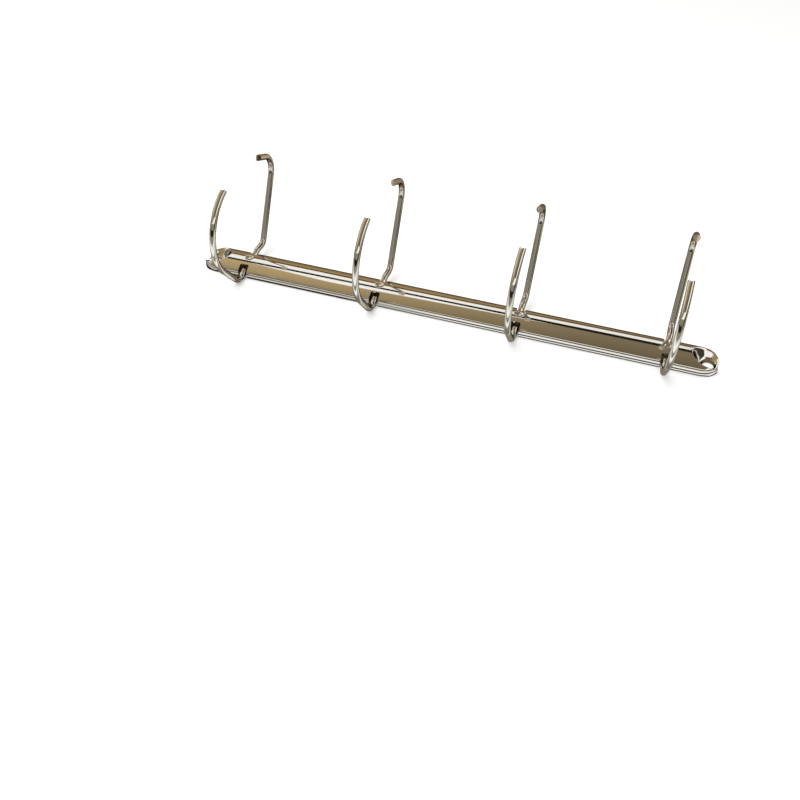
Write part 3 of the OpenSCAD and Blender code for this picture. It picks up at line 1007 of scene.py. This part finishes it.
def canopy_glow(stage):
    """Glow of the canopy: its colour changes from left to right, and it darkens toward the near side."""
    material, tree = new_material("canopy")
    place = object_place(tree)
    across = map_range(tree, place["X"], CANOPY_BLEND, smooth=True)
    shade = blend(tree, "MIX", across, (*stage.canopy_left, 1), (*stage.canopy_right, 1))
    level = map_range(tree, place["Y"], CANOPY_DEPTH, CANOPY_LEVEL)
    light = tree.add("ShaderNodeEmission", Color=shade, Strength=level)
    tree.add("ShaderNodeOutputMaterial", Surface=light.outputs[0])
    return material


def off_cover(tree, place):
    """Distance of a place on the floor from the outline of the cover."""
    nose_x = COVER_HIGH[0] - bpy.context.scene.ring_binder_cover.nose_reach
    past = maths(tree, "SUBTRACT", maths(tree, "ABSOLUTE", place["X"]), nose_x)
    past = maths(tree, "MAXIMUM", past, 0.0)
    across = maths(tree, "ABSOLUTE", place["Y"])
    square = maths(tree, "ADD", maths(tree, "POWER", past, 2.0), maths(tree, "POWER", across, 2.0))
    return maths(tree, "SUBTRACT", maths(tree, "SQRT", square), COVER_HIGH[1])


def bands(tree, away, stage, stops):
    """Tones over the distance from the cover: stops are millimetres and a grey or a colour's name."""
    low, high = stops[0][0], stops[-1][0]
    node = tree.add("ShaderNodeValToRGB", Fac=map_range(tree, away, (low * MM, high * MM)))
    elements = node.color_ramp.elements
    while len(elements) < len(stops):
        elements.new(1.0)
    for element, (at, tone) in zip(elements, stops):
        element.position = (at - low) / (high - low)
        shade = getattr(stage, tone) if isinstance(tone, str) else (tone, tone, tone)
        element.color = (*shade, 1)
    return node.outputs["Color"]


def floor_material(stage):
    """A plain pale matt floor for the camera and for light, with bands of painted reflection that only glossy
    rays see, the darkest of them a painted contact shadow next to the cover.
    """
    material, tree = new_material("floor")
    place = object_place(tree)
    away = off_cover(tree, place)
    close = blend(tree, "MIX", map_range(tree, place["X"], FRONT_BLEND), bands(tree, away, stage, FRONT_LEFT),
                  bands(tree, away, stage, FRONT_RIGHT))
    front = blend(tree, "MULTIPLY", 1.0, close, bands(tree, away, stage, FRONT_FAR))
    back = bands(tree, away, stage, BEHIND)
    tone = blend(tree, "MIX", map_range(tree, place["Y"], FRONT_TO_BACK), front, back)
    # Painted reflection: glowing tones that only glossy rays see.
    painted_reflection = tree.add("ShaderNodeEmission", Color=tone)
    matt = tree.add("ShaderNodeBsdfDiffuse", Color=(*stage.floor, 1))
    path = tree.add("ShaderNodeLightPath").outputs
    lift = maths(tree, "MULTIPLY", path["Is Camera Ray"], stage.floor_lift)
    light = tree.add("ShaderNodeEmission", Strength=lift)
    both = tree.add("ShaderNodeAddShader")
    tree.join(both, matt.outputs[0], light.outputs[0])
    choice = tree.add("ShaderNodeMixShader")
    tree.join(choice, path["Is Glossy Ray"], both.outputs[0], painted_reflection.outputs[0])
    tree.add("ShaderNodeOutputMaterial", Surface=choice.outputs[0])
    return material


class RINGBINDER_PT_panel(Panel):
    """Sizes, finish and stage of the ring binder mechanism"""
    bl_idname = "RINGBINDER_PT_panel"
    bl_label = "Ring Binder"
    bl_space_type = "VIEW_3D"
    bl_region_type = "UI"
    bl_category = "Ring Binder"

    def draw(self, context):
        for title, group, operator in (("Cover", "ring_binder_cover", "ring_binder.cover"),
                                       ("Rings", "ring_binder_rings", "ring_binder.rings"),
                                       ("Finish", "ring_binder_finish", "ring_binder.rails"),
                                       ("Stage", "ring_binder_stage", "ring_binder.stage")):
            box = self.layout.box()
            box.label(text=title)
            values = getattr(context.scene, group)
            for name in values.__annotations__:
                box.prop(values, name)
            box.operator(operator)


CLASSES = (CoverSizes, RingSizes, FinishValues, StageValues, RINGBINDER_OT_cover, RINGBINDER_OT_rings,
           RINGBINDER_OT_rails, RINGBINDER_OT_stage, RINGBINDER_PT_panel)
GROUPS = {"ring_binder_cover": CoverSizes, "ring_binder_rings": RingSizes,
          "ring_binder_finish": FinishValues, "ring_binder_stage": StageValues}


def register():
    """Adds the classes and their values to Blender."""
    for item in CLASSES:
        bpy.utils.register_class(item)
    for name, group in GROUPS.items():
        setattr(bpy.types.Scene, name, PointerProperty(type=group))


def unregister():
    """Takes the values and the classes out again."""
    for name in GROUPS:
        delattr(bpy.types.Scene, name)
    for item in reversed(CLASSES):
        bpy.utils.unregister_class(item)


def main():
    """Builds the looks and the stage."""
    register()
    bpy.ops.ring_binder.cover()
    bpy.ops.ring_binder.rings()
    bpy.ops.ring_binder.rails()
    bpy.ops.ring_binder.stage()


if __name__ == "__main__":
    main()
